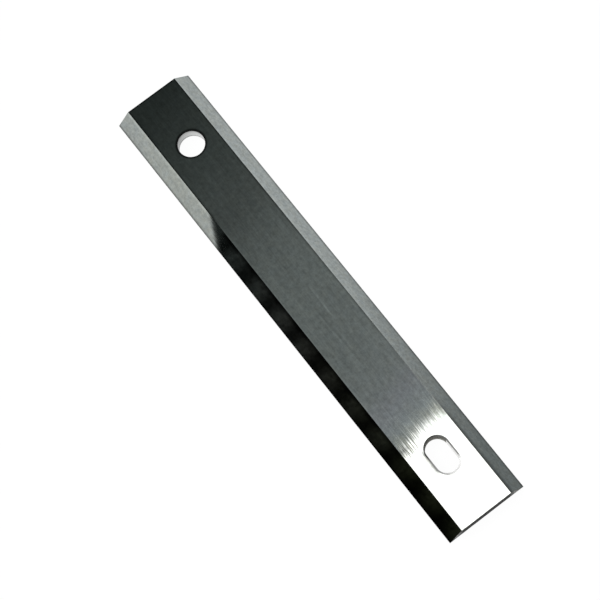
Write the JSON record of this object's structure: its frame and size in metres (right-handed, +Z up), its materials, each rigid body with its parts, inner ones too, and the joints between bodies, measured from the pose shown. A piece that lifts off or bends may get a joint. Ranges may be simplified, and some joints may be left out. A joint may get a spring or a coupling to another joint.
{
  "type": "reversible planer knife",
  "caption": "Flat steel planer knife, ground to a cutting edge along both long sides, with a round screw hole near one end and a setting slot near the other.",
  "frame": {"origin": "middle of the flat back face, on which the knife lies", "axes": "+X along the knife from the round hole to the slot, +Y across it from cutting edge to cutting edge, +Z up out of the front face"},
  "size_m": [0.125, 0.02, 0.0032],
  "materials": {
    "ground_steel": "surface ground bright, with fine grinding lines along the knife"
  },
  "bodies": {
    "root": {"planer_knife": "ground_steel"}
  },
  "joints": []
}
